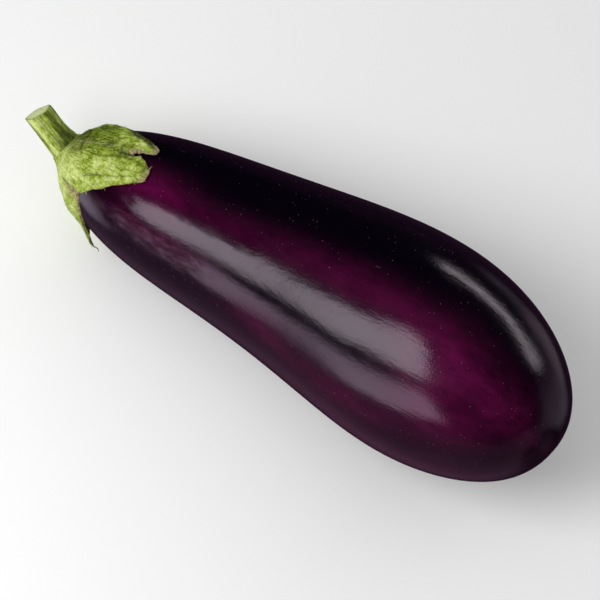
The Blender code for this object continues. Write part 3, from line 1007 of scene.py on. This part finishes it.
def down_group(paint):
    """Geometry Nodes: short curved hairs that lie on the surface."""
    group = bpy.data.node_groups.new("calyx_down", "GeometryNodeTree")
    sockets = group.interface
    kinds = {"Geometry": "Geometry", "Density": "Float", "Size": "Float", "Radius": "Float", "Wall": "Float"}
    for name, kind in (kinds | {"Seed": "Int"}).items():
        sockets.new_socket(name, in_out="INPUT", socket_type="NodeSocket" + kind)
    sockets.new_socket("Geometry", in_out="OUTPUT", socket_type="NodeSocketGeometry")
    tree = Tree(group)
    given = tree.add("NodeGroupInput").outputs
    # Where the hairs stand, on the outside of the wall
    downy = tree.add("GeometryNodeInputNamedAttribute", {"Name": "down"}, data_type="FLOAT")
    density = tree.times(downy.outputs["Attribute"], given["Density"])
    sowing = {"Mesh": given["Geometry"], "Density": density, "Seed": given["Seed"]}
    sown = tree.add("GeometryNodeDistributePointsOnFaces", sowing).outputs
    wall = {0: sown["Normal"], "Scale": given["Wall"]}
    lift = tree.add("ShaderNodeVectorMath", wall, operation="SCALE").outputs[0]
    places = tree.add("GeometryNodeSetPosition", {"Geometry": sown["Points"], "Offset": lift}).outputs[0]
    # One bent hair
    bend = tree.add("GeometryNodeCurveQuadraticBezier", {"Resolution": HAIR_STEPS, **HAIR_BEND}).outputs[0]
    section = {"Resolution": HAIR_SIDES, "Radius": given["Radius"]}
    ring = tree.add("GeometryNodeCurvePrimitiveCircle", section).outputs[0]
    tube = {"Curve": bend, "Profile Curve": ring, "Fill Caps": True}
    hair = tree.add("GeometryNodeCurveToMesh", tube).outputs[0]
    # How each one lies and how large it is
    along = tree.add("GeometryNodeInputNamedAttribute", {"Name": "along"}, data_type="FLOAT_VECTOR")
    axes = {"Primary Axis": sown["Normal"], "Secondary Axis": along.outputs["Attribute"]}
    lying = tree.add("FunctionNodeAxesToRotation", axes, primary_axis="Z", secondary_axis="X").outputs[0]
    turn = dict(enumerate(HAIR_TURNS))
    turn = tree.add("FunctionNodeRandomValue", turn, data_type="FLOAT_VECTOR").outputs[0]
    turning = {"Rotation": lying, "Rotate By": turn}
    turned = tree.add("FunctionNodeRotateRotation", turning, rotation_space="LOCAL").outputs[0]
    sizes = {2: HAIR_SIZES[0], 3: HAIR_SIZES[1]}
    size = tree.add("FunctionNodeRandomValue", sizes, data_type="FLOAT").outputs[1]
    size = tree.times(size, given["Size"])
    planting = {"Points": places, "Instance": hair, "Rotation": turned, "Scale": size}
    planted = tree.add("GeometryNodeInstanceOnPoints", planting).outputs[0]
    real = tree.add("GeometryNodeRealizeInstances", {0: planted}).outputs[0]
    dressed = tree.add("GeometryNodeSetMaterial", {"Geometry": real, "Material": paint}).outputs[0]
    tree.add("NodeGroupOutput", {0: dressed})
    return group


def make_down(bed):
    carrier = put_in_scene("down_carrier", bed)
    paint = down_paint()
    group = down_group(paint)
    grow = carrier.modifiers.new("down", "NODES")
    grow.node_group = group
    for item in group.interface.items_tree:
        if item.in_out == "INPUT" and item.name in DOWN_INPUTS:
            grow[item.identifier] = DOWN_INPUTS[item.name]
    made = baked(carrier, "calyx_down", paint)
    made.visible_glossy = False
    finish_piece(made, "calyx")


make_down(down_bed)


# Dried ends of two sepals
# Two of the sepals end in a dry, brownish bit of the withered tip: a curled thread on the
# loose one and a short spike on the lowest one in front.  Both have grown out of the leaf.
DRIED_COLOURS = ((0.08, 0.075, 0.02, 1), (0.34, 0.33, 0.12, 1))
DRIED_END_THINNING = 0.6
DRIED_END_LIFT = 0.5 * MM
# Name, sepal, place across it, half thickness at the root, and a path to the right and down in
# the photograph's view, in millimetres from the tip
DRIED_ENDS = (
    ("tip_thread", 1, 0.5, 0.32, ((0, -0.8), (0.2, 0.0), (0.9, 0.25), (1.7, 0.7), (2.2, 1.4), (2.1, 2.1))),
    ("tip_spike", 0, 0.08, 0.35, ((-0.8, 0.5), (0.0, 0.0), (0.5, -0.5), (0.9, -1.1))),
)


def dried_paint():
    paint, tree = new_paint("dried")
    tone = tree.noise(900.0, detail=3.0)
    colour = tree.mix(tree.remap(tone, 0.35, 0.65), *DRIED_COLOURS)
    tree.surface({"Base Color": colour, "Roughness": 0.75, "Normal": tree.bump(tone, 0.1 * MM)})
    return paint


def make_dried_end(name, index, across, half_thickness, path, paint):
    tip_from, tip_to, tip_reach = SEPALS[index][:3]
    outward = Vector(skin_normal(share_at(tip_reach), (tip_from + tip_to) / 2))
    tip = Vector(blade_point(index, np.array(across), np.array(2.0))) + outward * DRIED_END_LIFT
    _, image_right, image_down = view_axes()
    curve = bpy.data.curves.new(name, "CURVE")
    curve.dimensions = "3D"
    curve.bevel_depth = half_thickness * MM
    curve.bevel_resolution = 3
    curve.use_fill_caps = True
    spline = curve.splines.new("NURBS")
    spline.points.add(len(path) - 1)
    spline.use_endpoint_u = True
    spline.order_u = 3
    for step, (point, (right, down)) in enumerate(zip(spline.points, path)):
        place = tip + (image_right * right + image_down * down) * MM
        point.co = (*place, 1.0)
        point.radius = 1.0 - DRIED_END_THINNING * step / (len(path) - 1)
    finish_piece(baked(put_in_scene(name + "_curve", curve), name, paint), "calyx")


straw = dried_paint()
for dried_end in DRIED_ENDS:
    make_dried_end(*dried_end, straw)


# Stem
# The stem is the cut stub of the woody stalk: ribbed and green, with painted shade in its
# grooves and at its foot, and a pale, slightly domed cut face.  It grows out of the middle of the calyx.
STEM_CUT_DOME = 0.6 * MM
CUT_SLANT = 0.9 * MM
CUT_HIGH_SIDE = radians(236)
STEM_SEGMENTS = 180
STEM_ROWS = 90
CUT_ROWS = 14
CUT_RING_DEPTH = 0.25 * MM
# The stalk's grain: how often it changes round and along it, how much finer the second one is,
# and their heights
GRAIN_ROUND = 5
GRAIN_ALONG = 2.6
FINE_GRAIN = 2.7
GRAIN_HEIGHT = 0.30 * MM
FINE_GRAIN_HEIGHT = 0.14 * MM
STEM_TONE = 0.38
# Painted shade at the foot: its place and half size along the stalk, then round it in degrees
SHADED_FOOT = (0.30, 0.28, 82, 38)
# Pale ribs, and grooves with painted shade, of the stalk: how strong, angle and half width in degrees
PALE_RIBS = (
    (0.50, 156, 30), (0.30, 103, 5), (0.35, 55, 6),
    (0.25, 230, 14), (0.30, 275, 10), (0.30, 335, 12),
)
SHADED_GROOVES = (
    (0.95, 79, 15), (0.45, 121, 5), (0.50, 185, 7),
    (0.60, 252, 9), (0.60, 305, 10), (0.40, 20, 10),
)
STEM_SHADE_COLOUR = (0.035, 0.045, 0.004, 1)
PITH_COLOURS = ((0.66, 0.73, 0.40, 1), (0.46, 0.52, 0.20, 1))
BARK_COLOUR = (0.36, 0.42, 0.13, 1)
CUT_EDGE_COLOUR = (0.14, 0.14, 0.035, 1)


def stem_paint():
    paint, tree = new_paint("stem")
    place = tree.place()
    patch = tree.noise(320.0, place, detail=4.0, roughness=0.6)
    fine = tree.noise(1300.0, place, detail=3.0, roughness=0.7)
    colour = leaf_green(tree, tree.mottle(tree.attribute("tone"), (patch, 1.4), (fine, 1.1)))
    # Painted shade in the grooves and at the foot of the stalk
    dark = tree.times(tree.attribute("shade"), tree.remap(patch, 0.25, 0.6, 0.55, 1.0))
    colour = tree.mix(dark, colour, STEM_SHADE_COLOUR)
    rim = tree.attribute("rim")
    face = tree.mix(tree.remap(fine, 0.35, 0.7), *PITH_COLOURS)
    face = tree.mix(tree.remap(rim, 0.78, 0.92), face, BARK_COLOUR)
    face = tree.mix(tree.remap(rim, 0.93, 0.99), face, CUT_EDGE_COLOUR)
    colour = tree.mix(tree.attribute("cut"), colour, face)
    normal = tree.bump(patch, 0.30 * MM)
    normal = tree.bump(fine, 0.15 * MM, normal)
    tree.surface({"Base Color": colour, "Roughness": 0.58, "Normal": normal, "Specular IOR Level": 0.2})
    return paint


def bump_at(turn, at, half):
    """A soft bump of one about an angle, both in degrees."""
    return np.exp(-((degrees_from(at, turn) / half) ** 2))


def stem_tones(way, angle, grain):
    """How pale the stalk is, and how much shade is painted in its grooves and at its foot."""
    turn = np.degrees(angle)
    ribs = sum(strength * bump_at(turn, at, half) for strength, at, half in PALE_RIBS)
    grooves = sum(strength * bump_at(turn, at, half) for strength, at, half in SHADED_GROOVES)
    shade = grooves * (0.55 + 1.6 * np.abs(grain))
    foot_way, foot_half, foot_turn, foot_wide = SHADED_FOOT
    foot = np.exp(-(((way - foot_way) / foot_half) ** 2)) * bump_at(turn, foot_turn, foot_wide)
    return STEM_TONE + ribs + 0.9 * grain, np.clip(shade + 1.3 * foot, 0.0, 1.0)


def make_stem():
    way = np.linspace(0, 1, STEM_ROWS)
    angle = np.linspace(0, 2 * pi, STEM_SEGMENTS, endpoint=False)
    way, angle = np.meshgrid(way, angle, indexing="ij")
    sides = stem_surface(way, angle)
    spine = stem_centre(way)
    outward = unit(sides - spine)
    rolled = [np.cos(angle) * GRAIN_ROUND, np.sin(angle) * GRAIN_ROUND, way * GRAIN_ALONG]
    rolled = np.stack(rolled, axis=-1).reshape(-1, 3)
    grain = wrinkle(rolled, 1.0, 11.0).reshape(way.shape)
    fine = wrinkle(rolled * FINE_GRAIN, 1.0, 17.0).reshape(way.shape)
    relief = (grain * GRAIN_HEIGHT + fine * FINE_GRAIN_HEIGHT) * np.minimum(1.0, 2 * way)
    slant = CUT_SLANT * np.cos(angle - CUT_HIGH_SIDE) * smooth_step(0.6, 1.0, way)
    sides = sides + outward * column(relief) + stem_frame(way)[0] * column(slant)
    tone, shade = stem_tones(way, angle, (grain + fine) / 2)
    # The cut face: rings that shrink towards the middle, slightly domed
    up_stem = stem_frame(np.array(1.0))[0]
    middle = spine[-1][:1]
    rims = 1 - np.arange(1, CUT_ROWS) / CUT_ROWS
    domes = STEM_CUT_DOME * (1 - rims**2) - CUT_RING_DEPTH * np.exp(-(((rims - 0.5) / 0.2) ** 2))
    rings = [middle + (sides[-1] - middle) * rim + up_stem * dome for rim, dome in zip(rims, domes)]
    points = [sides.reshape(-1, 3), *rings, middle + up_stem * STEM_CUT_DOME, spine[0][:1]]
    points = np.concatenate(points)
    rows = STEM_ROWS + len(rings)
    last = (rows - 1) * STEM_SEGMENTS
    faces = grid_faces(rows, STEM_SEGMENTS)
    faces += fan_faces(len(points) - 2, last, STEM_SEGMENTS)
    faces += [face[::-1] for face in fan_faces(len(points) - 1, 0, STEM_SEGMENTS)]
    cut_count = len(rings) * STEM_SEGMENTS
    facts = {
        "tone": np.concatenate([tone.ravel(), np.full(cut_count + 2, 0.5)]),
        "shade": np.concatenate([shade.ravel(), np.zeros(cut_count + 2)]),
        "cut": np.concatenate([np.zeros(way.size), np.ones(cut_count + 1), [0.0]]),
        "rim": np.concatenate([np.ones(way.size), np.repeat(rims, STEM_SEGMENTS), [0.0, 0.0]]),
    }
    made = add_mesh("stem_stub", points, faces, facts, stem_paint())
    bm = bmesh.new()
    bm.from_mesh(made.data)
    bmesh.ops.recalc_face_normals(bm, faces=bm.faces)
    bm.to_mesh(made.data)
    bm.free()
    finish_piece(made, "stem")


make_stem()
